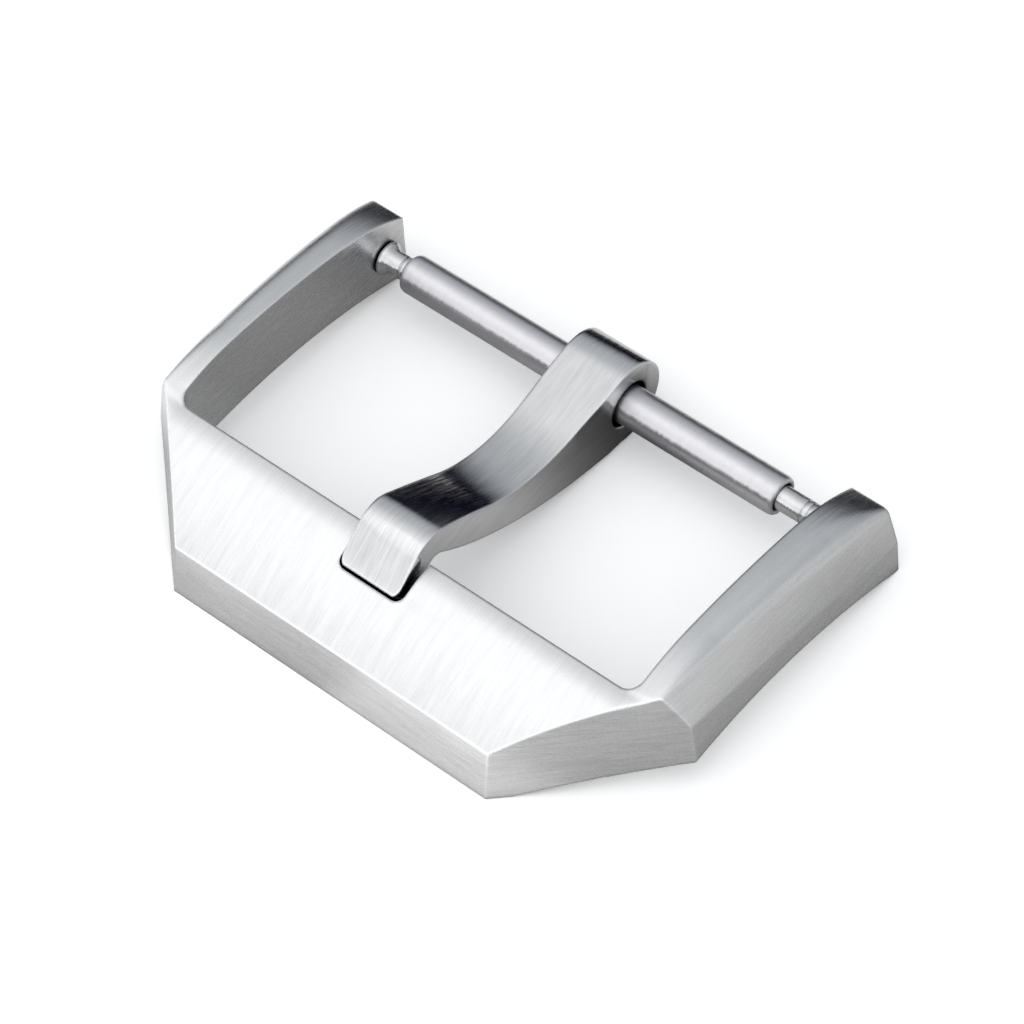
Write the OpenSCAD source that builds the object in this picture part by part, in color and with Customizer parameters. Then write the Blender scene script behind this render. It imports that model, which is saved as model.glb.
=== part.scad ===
// Tang buckle for a wrist watch strap, with a spring bar that carries the tang.
// The buckle lies on its feet at z = 0 with its front towards -Y and its spring bar along X.
// The origin is on the table, in the middle of the whole buckle.

/* [Strap and spring bar place] */
// Clear width between the arms, the width of the strap end
strap_w = 20; // [16:0.5:26]
// From the spring bar axis to the front edge, measured along the table
bar_to_front = 14.9; // [14:0.1:18]
// Height of the spring bar axis above the table
bar_z = 1.75; // [1.75:0.05:2.2]
// How far the arms reach past the spring bar axis
arm_past_bar = 1.05; // [0.9:0.05:1.6]

/* [Frame side view] */
// Height of the crest of the arms above the table
frame_rise = 4.55; // [4.3:0.05:5.2]
// From the front edge back to the crest of the arms
crest_from_front = 7.15; // [6.5:0.05:8]
// Radius of the top surface in front of the crest
front_top_r = 11; // [10:0.1:14]
// Radius of the top surface of the arms behind the crest
arm_top_r = 36; // [20:1:60]
// Radius that the arms roll down with at their ends
end_top_r = 9; // [6:0.1:14]
// Where that roll starts, ahead of the spring bar axis
end_roll_start = 2.3; // [1.5:0.1:4]
// Rise of the arch under the arms
arch_rise = 1.2; // [0.6:0.05:1.6]
// Length of the flat foot under the front bar
front_foot = 0.6; // [0.3:0.05:1]
// Length of the flat foot under the end of each arm
arm_foot = 0.2; // [0.1:0.05:0.8]

/* [Frame plan view] */
// Width of each arm at the table
arm_w = 2.07; // [1.9:0.01:3]
// How far each cut corner reaches along the front edge, from the arm's outer face
corner_cut = 5.12; // [3.5:0.02:5.3]
// Plan angle of the cut corners
corner_turn = 43.5; // [40:0.5:47]
// Width of the front bar at the table
front_bar_w = 4.1; // [3.9:0.05:5]
// Radius of the inner corners of the strap window
window_r = 0.5; // [0.3:0.05:0.9]

/* [Frame faces] */
// Inward lean of the front face, in degrees
front_lean = 8.4; // [2:0.1:15]
// Inward lean of the cut corners, in degrees
corner_lean = 7; // [4:0.1:9]
// Inward lean of the outer face of the arms, in degrees
arm_lean = 8; // [2:0.1:12]
// Lean of the upper bevel of the arms, in degrees
bevel_lean = 28.4; // [22:0.1:36]
// Height at which the upper bevel of the arms starts
bevel_from = 2.82; // [2.4:0.02:3.4]
// Depth of the strap relief under the front bar
relief_depth = 0.2; // [0.05:0.05:0.4]
// How far the strap relief stays inside each arm
relief_inset = 0.2; // [0.1:0.05:1]
// Round on the inner top edge of the front bar
inner_edge_r = 0.15; // [0.1:0.05:0.6]

/* [Tang notch] */
// Play between each side of the tang and the notch, when the tang lies in the middle
notch_play = 0.15; // [0.13:0.01:0.4]
// Length of the notch, from the inner wall of the front bar
notch_l = 1.7; // [1.5:0.05:2.2]
// Radius of the notch corners
notch_r = 0.35; // [0.1:0.05:0.6]
// Gap between the tip of the tang and the end of the notch
tip_gap = 0.14; // [0.05:0.01:0.4]
// Gap between the underside of the tip and the notch floor
seat_gap = 0.03; // [0.01:0.01:0.1]

/* [Tang] */
// Width of the tang
tang_w = 2.5; // [1.8:0.05:2.8]
// How much narrower each side of the tang is at its waist
waist = 0.12; // [0.04:0.01:0.2]
// How far to one side the tang lies on the spring bar
tang_shift = -0.08; // [-0.1:0.01:0.1]
// Outer radius of the eye
eye_r = 1.7; // [1.4:0.02:1.72]
// Radial clearance of the eye on the spring bar tube
eye_clear = 0.07; // [0.02:0.01:0.09]
// Downward slope of the tang where it leaves the eye, in degrees
dip_slope = 13; // [8:0.5:16]
// Upward slope of the tang towards its hump, in degrees
rise_slope = 28.5; // [24:0.5:32]
// Downward slope of the tip, in degrees
tip_slope = 42; // [36:0.5:48]
// Radius of the hollow in the top of the tang
dip_r = 5.5; // [4:0.1:8]
// Radius of the hump
hump_r = 1.3; // [0.9:0.05:1.6]
// How far the eye stands out under the long underside
eye_drop = 0.08; // [0.02:0.01:0.2]
// Height of the upper edge of the tip above the spring bar axis
tip_top = 1.8; // [1.65:0.05:2.1]
// Thickness of the tip, and of the tang under its hump
tip_t = 1.0; // [0.8:0.05:1.2]
// Radius of the two corners of the tip, seen from above
tip_r = 0.35; // [0.1:0.05:0.6]

/* [Spring bar] */
// Outer diameter of the spring bar tube
tube_d = 1.5; // [1.3:0.05:1.6]
// Wall of the tube
tube_wall = 0.18; // [0.12:0.01:0.22]
// Length of the neck that shows between the tube and each flange, when the tube lies in the middle
neck_l = 1.25; // [1.25:0.05:1.6]
// How far to one side the tube lies on its two plungers
tube_shift = -0.45; // [-0.45:0.05:0.45]
// Length of the rolled lip at each end of the tube
lip_l = 0.25; // [0.15:0.05:0.5]
// How far the tube narrows at its rolled ends
lip_drop = 0.08; // [0.04:0.01:0.1]
// How much thinner the plunger shaft is than the bore of the tube
shaft_thin = 0.18; // [0.14:0.01:0.28]
// Diameter of the plunger flange
flange_d = 1.3; // [1.1:0.05:1.4]
// Thickness of the flange rim
flange_t = 0.14; // [0.1:0.02:0.3]
// Length of the cone behind the flange
flange_cone = 0.24; // [0.1:0.02:0.4]
// Depth of the fine groove in the neck
groove_depth = 0.06; // [0.02:0.01:0.1]
// Width of the fine groove in the neck
groove_w = 0.12; // [0.06:0.02:0.2]
// Diameter of the plunger tip
pin_d = 0.8; // [0.7:0.02:0.9]
// Length of the plunger tip
pin_l = 0.7; // [0.6:0.05:0.7]
// Length of the plunger head inside the tube
head_l = 2.4; // [1:0.1:4]
// Radial clearance of the plunger shaft in the lip and of the head in the bore
plunger_clear = 0.03; // [0.02:0.01:0.05]
// Radial clearance of the plunger tip in its hole
hole_clear = 0.03; // [0.02:0.01:0.06]
// Gap between the flange and the arm, and depth left below the tip in its hole
end_clear = 0.05; // [0.03:0.01:0.1]
// Wire diameter of the coil spring in the tube
wire_d = 0.16; // [0.12:0.01:0.2]
// Curls of the coil spring
curls = 15; // [8:1:16]

/* [Hidden] */
$fn = 96;

// Overall places along Y, from the driving dimensions
total_l = bar_to_front + eye_r;
front_y = -total_l / 2;
bar_y = front_y + bar_to_front;
arm_end_y = bar_y + arm_past_bar;
crest_y = front_y + crest_from_front;
window_y = front_y + front_bar_w;
notch_y = window_y - notch_l;
notch_w = tang_w + 2 * notch_play;
far = 60; // longer than the whole buckle, for cutting blocks
gap = 0.02; // smallest gap that keeps two resting faces apart

// Frame: outer face of the arms at the table, and the bevel plane above it
half_w = strap_w / 2 + arm_w;
bevel_x = half_w - bevel_from * tan(arm_lean) + bevel_from * tan(bevel_lean);
nose_x = half_w - corner_cut;
corner_d = nose_x * sin(corner_turn) - front_y * cos(corner_turn);

// Side view: centre of the end roll, tangent to the top circle of the arms
roll_y = bar_y - end_roll_start;
roll_a = asin((roll_y - crest_y) / arm_top_r);
roll_c = [
    crest_y + (arm_top_r - end_top_r) * sin(roll_a),
    frame_rise - arm_top_r + (arm_top_r - end_top_r) * cos(roll_a)
];

// Arch between the inner edges of the feet
// The strap relief starts a little inside them, so that its edge crosses the arch cleanly
relief_in = 0.4;
arch_y = (front_y + front_foot + arm_end_y - arm_foot) / 2;
arch_half = (arm_end_y - arm_foot - front_y - front_foot) / 2;
relief_half = arch_half - relief_in;

// Tang, seen from the side, in Y and Z from the spring bar axis
function up(a) = [-sin(a), cos(a)];
eye_tangent = eye_r * up(dip_slope);
tip_end = [notch_y + tip_gap - bar_y, tip_top];
tip_base = tip_end - tip_t * up(tip_slope);

// Two straight lines cross: the first through p with slope a, the second through q with slope b
function cross_y(p, a, q, b) = (q.y - p.y + p.x * tan(a) - q.x * tan(b)) / (tan(a) - tan(b));
function crossing(p, a, q, b) = let (u = cross_y(p, a, q, b)) [u, p.y + (u - p.x) * tan(a)];

// The hump corner lies where the rising line meets the tip line
// The rising line starts under the hollow, at the seat of the tang
hump_ahead = 1.79; // the hump corner lies this far behind the end of the tip
hump_corner = [tip_end.x + hump_ahead, tip_end.y + hump_ahead * tan(tip_slope)];
dip_corner = crossing(eye_tangent, dip_slope, hump_corner, -rise_slope);

// Centre of a round of radius r in the corner c between slopes a and b, above (+1) or below (-1)
function round_c(c, a, b, r, side) =
    let (half_a = (a + b) / 2, half_turn = abs(a - b) / 2)
    c + side * r / cos(half_turn) * up(half_a);
dip_c = round_c(dip_corner, dip_slope, -rise_slope, dip_r, 1);
hump_c = round_c(hump_corner, -rise_slope, tip_slope, hump_r, -1);
dip_from = dip_c - dip_r * up(dip_slope);
dip_to = dip_c - dip_r * up(-rise_slope);
hump_from = hump_c + hump_r * up(-rise_slope);
hump_to = hump_c + hump_r * up(tip_slope);

// Long underside: a circle that the eye stands out of by eye_drop
// It ends at the throat, one tip thickness below the top of the hump
throat_in = 0.1; // the throat lies this far behind the middle of the hump
throat = [hump_c.x + throat_in, hump_c.y + hump_r - tip_t];
core_in = [0.2, 0]; // keeps the shared point away from the faces
core = (throat + hump_from) / 2 + core_in; // a point inside, shared by the shank, hump and tip
belly_turn = 2; // its lowest place is turned this far from right below the eye
belly_up = up(belly_turn);
belly_in = eye_r - eye_drop;
belly_r = (belly_in * belly_in + 2 * belly_in * (belly_up * throat) + throat * throat)
    / (2 * (belly_in + belly_up * throat));
belly_c = (belly_r - belly_in) * belly_up;

// Waist of the tang: the sides draw in behind the hump and widen again at the eye
waist_in = 0.6; // the sides start to draw in this far behind the hump
waist_part = [0.7, 0.3]; // the waist is narrowest between these parts of the way to the hump
waist_y = [
    hump_corner.x + waist_in,
    waist_part[0] * hump_corner.x,
    waist_part[1] * hump_corner.x,
    -eye_r
];

// Spring bar along X, from the arms inwards
arm_x = strap_w / 2;
flange_x = arm_x - end_clear;
tube_half = flange_x - flange_t - flange_cone - neck_l;
bore_r = tube_d / 2 - tube_wall;
shaft_r = bore_r - shaft_thin / 2;
lip_r = shaft_r + plunger_clear;
head_r = bore_r - plunger_clear;
head_end = tube_half - abs(tube_shift) - lip_l - gap; // the nearer lip just clears the head
head_start = head_end - head_l;
groove_x = flange_x - flange_t - flange_cone - 2 * groove_w;
edge = 0.08; // small chamfer on the ends of turned pieces
spare = 0.1; // the tip leaves its hole with this much to spare
travel = pin_l - end_clear + spare;

// Coil spring between the two heads
coil_r = bore_r - 2 * plunger_clear - wire_d / 2;
coil_l = 2 * (head_start - gap) - wire_d;
ring_count = 8;
ring_sides = 6;
function coil_at(i) =
    let (t = i / (ring_count * curls))
    [(t - 0.5) * coil_l, coil_r * cos(360 * curls * t), coil_r * sin(360 * curls * t)];

// Least gap of the wire to itself, measured between ring centres half a curl or more apart
coil_rings = ring_count * curls;
coil_gap = min([
    for (i = [0 : ring_count])
        for (j = [i + ring_count / 2 : min(coil_rings, i + 2 * ring_count)])
            norm(coil_at(i) - coil_at(j))
]) - wire_d;
echo(coil_gap = coil_gap, plunger_travel = travel, tube_length = 2 * tube_half);

// Lay a side view (Y across, Z up) over the width w, centred on x = 0
module across(w) {
    translate([-w / 2, 0, 0])
        rotate([90, 0, 90])
            linear_extrude(w)
                children();
}

// Turn a profile of [radius, place along X] points about the spring bar axis
module turned(points, shift = 0) {
    translate([shift, bar_y, bar_z])
        rotate([0, 90, 0])
            rotate_extrude()
                polygon(points);
}

// Everything outside a face that is turned in plan and leans inwards going up
module outside(turn, distance, lean) {
    rotate([0, 0, turn])
        translate([distance, 0, 0])
            rotate([0, -lean, 0])
                translate([0, -far / 2, -far / 2])
                    cube(far);
}

// One stretch of the side view, from y0 to y1, under a circle
module under_circle(y0, y1, centre, r) {
    intersection() {
        translate([y0, 0])
            square([y1 - y0, frame_rise + 1]);
        translate(centre)
            circle(r);
    }
}

// A hollow under the buckle in the side view, from its half span and its rise
module arch(half, rise) {
    r = (half * half + rise * rise) / (2 * rise);
    translate([arch_y, rise - r])
        circle(r, $fn = 180);
}

module side_view() {
    difference() {
        union() {
            under_circle(front_y - 1, crest_y, [crest_y, frame_rise - front_top_r], front_top_r);
            under_circle(crest_y, roll_y, [crest_y, frame_rise - arm_top_r], arm_top_r);
            under_circle(roll_y, arm_end_y, roll_c, end_top_r);
        }
        arch(arch_half, arch_rise);
    }
}

// Strap window, open towards the back, with round inner corners
module window() {
    translate([-strap_w / 2, window_y + window_r, -1])
        cube([strap_w, far, frame_rise + 2]);
    translate([-strap_w / 2 + window_r, window_y, -1])
        cube([strap_w - 2 * window_r, far, frame_rise + 2]);
    for (side = [-1, 1])
        translate([side * (strap_w / 2 - window_r), window_y + window_r, -1])
            cylinder(r = window_r, h = frame_rise + 2);
}

// Round along the inner top edge of the front bar
// Its centre lies inner_edge_r inside the wall and inside the top circle
edge_c_y = window_y - inner_edge_r;
edge_c_z = frame_rise - front_top_r
    + sqrt(pow(front_top_r - inner_edge_r, 2) - pow(edge_c_y - crest_y, 2));
edge_a = asin((crest_y - edge_c_y) / (front_top_r - inner_edge_r));
module inner_edge() {
    difference() {
        across(strap_w)
            polygon([
                [edge_c_y, edge_c_z],
                [window_y + 1, edge_c_z],
                [window_y + 1, edge_c_z + 2],
                [edge_c_y - 2 * tan(edge_a), edge_c_z + 2]
            ]);
        across(strap_w + 1)
            translate([edge_c_y, edge_c_z])
                circle(inner_edge_r);
    }
}

// Notch for the tip: upright walls and round corners over a flat floor that the tip rests on
module notch() {
    floor_z = bar_z + tip_base.y - seat_gap;
    translate([-notch_w / 2, notch_y + notch_r, floor_z])
        cube([notch_w, notch_l, frame_rise]);
    translate([-notch_w / 2 + notch_r, notch_y, floor_z])
        cube([notch_w - 2 * notch_r, notch_l, frame_rise]);
    for (side = [-1, 1])
        translate([side * (notch_w / 2 - notch_r), notch_y + notch_r, floor_z])
            cylinder(r = notch_r, h = frame_rise);
}

// Blind holes in the arms for the tips of the plungers
module bar_holes() {
    reach = flange_x + pin_l + end_clear;
    translate([-reach, bar_y, bar_z])
        rotate([0, 90, 0])
            cylinder(d = pin_d + 2 * hole_clear, h = 2 * reach);
}

module buckle_frame() {
    color("silver")
        difference() {
            across(2 * half_w + 2)
                side_view();
            outside(-90, -front_y, front_lean);
            for (side = [0, 180])
                outside(side, half_w, arm_lean);
            for (side = [0, 180])
                outside(side, bevel_x, bevel_lean);
            for (side = [-1, 1])
                outside(-90 + side * corner_turn, corner_d, corner_lean);
            window();
            inner_edge();
            across(strap_w - 2 * relief_inset)
                arch(relief_half, arch_rise + relief_depth);
            notch();
            bar_holes();
        }
}

// Side view of the tang, from the spring bar axis
module tang_side() {
    circle(eye_r);
    difference() {
        intersection() {
            polygon([
                [0, 0],
                eye_tangent,
                dip_from,
                dip_to,
                hump_from,
                throat,
                [throat.x, -eye_r - 1],
                [0, -eye_r - 1]
            ]);
            translate(belly_c)
                circle(belly_r, $fn = 180);
        }
        translate(dip_c)
            circle(dip_r);
    }
    intersection() {
        polygon([throat, core, hump_from, hump_corner, hump_to]);
        translate(hump_c)
            circle(hump_r);
    }
    polygon([throat, core, hump_to, tip_end, tip_base]);
}

// Plan view of the tang: two round corners at the tip, and sides drawn in between hump and eye
module tang_plan() {
    over = 0.04; // the plan reaches this far past the side view
    front = tip_end.x - over;
    difference() {
        union() {
            translate([-tang_w / 2, front + tip_r])
                square([tang_w, eye_r + 1 - front]);
            translate([tip_r - tang_w / 2, front])
                square([tang_w - 2 * tip_r, eye_r + 1 - front]);
            for (side = [-1, 1])
                translate([side * (tang_w / 2 - tip_r), front + tip_r])
                    circle(tip_r);
        }
        for (side = [-1, 1])
            polygon([
                [side * tang_w / 2, waist_y[0]],
                [side * (tang_w / 2 - waist), waist_y[1]],
                [side * (tang_w / 2 - waist), waist_y[2]],
                [side * tang_w / 2, waist_y[3]],
                [side * tang_w, waist_y[3]],
                [side * tang_w, waist_y[0]]
            ]);
    }
}

module tang() {
    color("gainsboro")
        translate([tang_shift, bar_y, bar_z])
            difference() {
                intersection() {
                    across(tang_w + 1)
                        tang_side();
                    translate([0, 0, -2 * eye_r])
                        linear_extrude(2 * eye_r + 2 * hump_corner.y)
                            tang_plan();
                }
                translate([-far / 2, 0, 0])
                    rotate([0, 90, 0])
                        cylinder(d = tube_d + 2 * eye_clear, h = far);
            }
}

module spring_bar_tube() {
    tube_r = tube_d / 2;
    rolled = [lip_l, lip_l / 2, 0]; // places along the rolled end, from its root to the end
    drop = [0, lip_drop / 4, lip_drop]; // how much narrower the tube is at each
    color("lightgray")
        turned(
            [
                [bore_r, lip_l - tube_half],
                [lip_r, lip_l - tube_half],
                [lip_r, -tube_half],
                for (i = [2 : -1 : 0])
                    [tube_r - drop[i], rolled[i] - tube_half],
                for (i = [0 : 2])
                    [tube_r - drop[i], tube_half - rolled[i]],
                [lip_r, tube_half],
                [lip_r, tube_half - lip_l],
                [bore_r, tube_half - lip_l]
            ],
            tube_shift
        );
}

// One plunger, from its head in the tube to its tip in the arm
module plunger() {
    pin_end = flange_x + pin_l;
    rim = flange_x - flange_t;
    turned([
        [0, head_start],
        [head_r - edge, head_start],
        [head_r, head_start + edge],
        [head_r, head_end],
        [shaft_r, head_end],
        [shaft_r, groove_x],
        [shaft_r - groove_depth, groove_x],
        [shaft_r - groove_depth, groove_x + groove_w],
        [shaft_r, groove_x + groove_w],
        [shaft_r, rim - flange_cone],
        [flange_d / 2, rim],
        [flange_d / 2, flange_x],
        [pin_d / 2, flange_x],
        [pin_d / 2, pin_end - edge],
        [pin_d / 2 - edge, pin_end],
        [0, pin_end]
    ]);
}

module right_plunger() {
    color("darkgray")
        plunger();
}

module left_plunger() {
    color("darkgray")
        mirror([1, 0, 0])
            plunger();
}

// One unbroken round wire: rings of points along the coil, joined by triangles
module coil_spring() {
    lead = coil_l / curls / (2 * PI * coil_r);
    points = [
        for (i = [0 : coil_rings])
            let (
                turn = 360 * i / ring_count,
                along = [lead, -sin(turn), cos(turn)] / norm([lead, 1]),
                out = [0, cos(turn), sin(turn)],
                side = cross(along, out)
            )
            for (k = [0 : ring_sides - 1])
                coil_at(i) + wire_d / 2 * (out * cos(60 * k) + side * sin(60 * k))
    ];
    walls = [
        for (i = [0 : coil_rings - 1])
            for (k = [0 : ring_sides - 1])
                let (
                    a = i * ring_sides + k,
                    b = i * ring_sides + (k + 1) % ring_sides,
                    c = a + ring_sides,
                    d = b + ring_sides
                )
                each [[a, c, b], [b, c, d]]
    ];
    last = coil_rings * ring_sides;
    caps = [
        for (k = [1 : ring_sides - 2])
            each [[0, k, k + 1], [last, last + k + 1, last + k]]
    ];
    color("slategray")
        translate([0, bar_y, bar_z])
            polyhedron(points, concat(walls, caps));
}

buckle_frame();
tang();
spring_bar_tube();
left_plunger();
right_plunger();
coil_spring();
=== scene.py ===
import math

import bmesh
import bpy
from mathutils import Matrix, Vector


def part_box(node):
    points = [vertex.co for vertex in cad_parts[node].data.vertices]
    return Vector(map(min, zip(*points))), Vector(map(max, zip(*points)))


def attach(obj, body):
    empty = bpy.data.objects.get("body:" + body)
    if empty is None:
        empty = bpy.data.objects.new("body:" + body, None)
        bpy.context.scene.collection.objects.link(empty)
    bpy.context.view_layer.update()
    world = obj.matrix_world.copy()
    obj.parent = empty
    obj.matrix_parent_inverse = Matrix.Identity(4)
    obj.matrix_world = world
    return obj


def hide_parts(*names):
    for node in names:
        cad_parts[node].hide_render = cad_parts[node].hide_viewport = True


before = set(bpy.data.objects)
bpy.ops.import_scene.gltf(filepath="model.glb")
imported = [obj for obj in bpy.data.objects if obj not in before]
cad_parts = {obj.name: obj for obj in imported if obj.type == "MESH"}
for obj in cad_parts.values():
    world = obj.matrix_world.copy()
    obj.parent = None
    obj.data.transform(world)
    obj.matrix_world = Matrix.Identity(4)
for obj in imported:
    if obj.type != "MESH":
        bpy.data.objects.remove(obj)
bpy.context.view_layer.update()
mm = 0.001

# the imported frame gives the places, so the pieces follow it
frameLow, frameHigh = (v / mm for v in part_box("buckle_frame"))
tubeLow, tubeHigh = (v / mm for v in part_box("spring_bar_tube"))
tangLow, tangHigh = (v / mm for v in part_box("tang"))
barY = (tubeLow.y + tubeHigh.y) / 2
barZ = (tubeLow.z + tubeHigh.z) / 2
tangX = (tangLow.x + tangHigh.x) / 2
print("frame loaded, bar at", round(barY, 2), round(barZ, 2))


# small tools for meshes, all sizes in mm until the piece is made
weldGap = 1e-5     # points closer than this become one
planeGap = 1e-6    # points closer than this lie on the cutting plane
sharpAngle = 28    # degrees, an edge that turns more gets rounded
flatWeight = 80    # how much the large faces rule the smooth shading
past = 1.0         # cutting blocks reach this far past what they cut
blockTop = 8.0     # and this high, well over the crest
turnSteps = 96     # points round a turned piece


def arcPoints(centre, radius, start, end, count):
    # points of a round stretch, angles in degrees
    points = []
    for i in range(count + 1):
        a = math.radians(start + (end - start) * i / count)
        points.append((centre[0] + radius * math.cos(a), centre[1] + radius * math.sin(a)))
    return points


def between(values, share):
    # what lies a share of the way from the first value to the second
    return values[0] + (values[1] - values[0]) * share


def makeObject(name, bm):
    bmesh.ops.recalc_face_normals(bm, faces=bm.faces)
    mesh = bpy.data.meshes.new(name)
    bm.to_mesh(mesh)
    bm.free()
    piece = bpy.data.objects.new(name, mesh)
    bpy.context.scene.collection.objects.link(piece)
    return piece


def bridgeRings(bm, rings, closed):
    # quads between rings of equal length
    count = len(rings[0])
    for first, second in zip(rings, rings[1:]):
        for i in range(count if closed else count - 1):
            j = (i + 1) % count
            bm.faces.new((first[i], first[j], second[j], second[i]))


def closedLoft(rings):
    # closed mesh through rings of points, with a face on each end
    bm = bmesh.new()
    made = [[bm.verts.new(p) for p in ring] for ring in rings]
    bridgeRings(bm, made, True)
    bm.faces.new(made[0])
    bm.faces.new(made[-1])
    bmesh.ops.recalc_face_normals(bm, faces=bm.faces)
    return bm


def prismX(outline, low, high):
    # outline of (y, z) points swept along X
    return closedLoft([[(x, y, z) for y, z in outline] for x in (low, high)])


def prismZ(outline, low, high):
    # outline of (x, y) points swept along Z
    return closedLoft([[(x, y, z) for x, y in outline] for z in (low, high)])


def lathe(name, profile, steps=turnSteps):
    # profile of (radius, place along X), turned about the bar axis, ends on the axis closed
    bm = bmesh.new()
    rings = []
    for k in range(steps):
        a = 2 * math.pi * k / steps
        rings.append([bm.verts.new((x, barY + r * math.cos(a), barZ + r * math.sin(a))) for r, x in profile])
    rings.append(rings[0])
    bridgeRings(bm, rings, profile[0][0] > 0)
    bmesh.ops.remove_doubles(bm, verts=bm.verts, dist=weldGap)
    return makeObject(name, bm)


def applyModifiers(piece):
    depsgraph = bpy.context.evaluated_depsgraph_get()
    mesh = bpy.data.meshes.new_from_object(piece.evaluated_get(depsgraph))
    old = piece.data
    piece.modifiers.clear()
    piece.data = mesh
    bpy.data.meshes.remove(old)


def cutAway(piece, cutter):
    # takes the cutter's space out of the piece and deletes the cutter
    cut = piece.modifiers.new("cut", "BOOLEAN")
    cut.operation = "DIFFERENCE"
    cut.solver = "MANIFOLD"
    cut.object = cutter
    bpy.context.view_layer.update()
    applyModifiers(piece)
    bpy.data.objects.remove(cutter)


def drill(piece, radius, start, end, steps=turnSteps):
    # round hole on the bar axis, between two places along X
    cutAway(piece, lathe("drill", [(0, start), (radius, start), (radius, end), (0, end)], steps))


def slicePlane(bm, point, normal, clear):
    # cuts along a plane; what lies on the normal's side goes when clear is set
    everything = bm.verts[:] + bm.edges[:] + bm.faces[:]
    made = bmesh.ops.bisect_plane(
        bm, geom=everything, dist=planeGap, plane_co=point, plane_no=normal, clear_outer=clear
    )
    if clear:
        rim = [e for e in made["geom_cut"] if isinstance(e, bmesh.types.BMEdge)]
        bmesh.ops.edgenet_fill(bm, edges=rim)


def softenEdges(piece, width, angle=sharpAngle, segments=3):
    bevel = piece.modifiers.new("soft edges", "BEVEL")
    bevel.width = width
    bevel.segments = segments
    bevel.limit_method = "ANGLE"
    bevel.angle_limit = math.radians(angle)
    bevel.use_clamp_overlap = True
    bevel.miter_outer = "MITER_ARC"
    applyModifiers(piece)


def toMetres(piece):
    # pieces are cut and rounded in mm, and brought to their real size at the end
    piece.data.transform(Matrix.Scale(mm, 4))


def smoothShade(piece):
    toMetres(piece)
    piece.data.shade_smooth()
    weighted = piece.modifiers.new("even faces", "WEIGHTED_NORMAL")
    weighted.keep_sharp = False
    weighted.weight = flatWeight


# frame: side view rounds over the crest, arms with a soft bevel, cut corners in front
# a pair of values is at the cut corners and at the arm ends, with an even change between
frameSize = {
    "crestBack": 7.15,       # from the front edge to the crest
    "frontRound": 11.0,      # top surface in front of the crest
    "armRound": 36.0,        # top surface of the arms behind it
    "endRound": 9.0,         # roll at the arm ends
    "rollAhead": 2.3,        # that roll starts this far before the bar axis
    "archRise": 1.2,
    "frontFoot": 0.6,        # length of the flat foot in front
    "armFoot": 0.2,          # and under each arm end
    "frontLean": 8.4,        # front face, in degrees off upright
    "cornerTurn": 43.5,      # cut corners, in degrees round from it
    "cornerLean": 7.0,
    "cornerCut": 5.12,       # they start this far in from the outer wall
    "changeFrom": -3.6,      # the pairs start to change at this place along Y
    "armLean": (8.0, 4.0),   # outer wall, in degrees
    "lowCrease": (2.72, 1.45),     # height of the lower crease
    "lowCreaseSoft": (0.4, 1.6),   # its round
    "topCrease": (1.2, 0.55),      # top crease, from the outer face at the table
    "topCreaseSoft": (0.16, 1.2, 0.35),  # its round: at the cut corners, halfway, at the arm ends
    "bevelLeast": 0.5,       # the lower crease stays this far under the top
    "topHalf": 9.8,          # the top runs level from here to the same place on the left
    "strap": 20.0,
    "frontBar": 4.1,
    "windowRound": 0.58,
    "windowBack": 12.0,      # the cutting block for the window ends here, past the arm ends
    "innerRollWidth": 0.9,   # the top of the front bar rolls down towards the window
    "innerRollReach": 2.4,   # and this far up the arms
    "innerRollDrop": 0.11,
    "reliefInset": 0.2,
    "reliefDepth": 0.2,
    "reliefStart": 0.4,      # the relief starts this far inside the arch
    "edgeSoft": 0.09,
    "holeRadius": 0.43,
    "holeDepth": 0.7,
    "holeLead": 0.5,         # the drill starts this far inside the window
    "sectionLead": 0.6,      # the first section lies this far before the front edge
}
frameSteps = {
    "sections": 150, "lowCrease": 6, "topCrease": 8, "window": 10, "relief": 60, "notch": 8, "hole": 64,
}

# notch in the front bar, a little wider than the tang
notchSize = {
    "width": 2.8,
    "length": 1.65,
    "round": 0.35,
    "floor": 2.78,
}
frontY, endY = frameLow.y, frameHigh.y
halfWidth = frameHigh.x
crestZ = frameHigh.z
crestY = frontY + frameSize["crestBack"]
windowY = frontY + frameSize["frontBar"]
rollY = barY - frameSize["rollAhead"]
archMiddle = (frontY + frameSize["frontFoot"] + endY - frameSize["armFoot"]) / 2
archHalf = (endY - frameSize["armFoot"] - frontY - frameSize["frontFoot"]) / 2


def topHeight(y):
    # height of the top surface
    if y <= crestY:
        r = frameSize["frontRound"]
        return crestZ - r + math.sqrt(r * r - (y - crestY) ** 2)
    r = frameSize["armRound"]
    if y <= rollY:
        return crestZ - r + math.sqrt(r * r - (y - crestY) ** 2)
    turn = math.asin((rollY - crestY) / r)
    e = frameSize["endRound"]
    centreY = crestY + (r - e) * math.sin(turn)
    centreZ = crestZ - r + (r - e) * math.cos(turn)
    return centreZ + math.sqrt(e * e - (y - centreY) ** 2)


def archHeight(y, half, rise):
    # height of a hollow under the frame, from its half span and its rise
    r = (half * half + rise * rise) / (2 * rise)
    inside = r * r - (y - archMiddle) ** 2
    return max(0.0, rise - r + math.sqrt(inside)) if inside > 0 else 0.0


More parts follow.
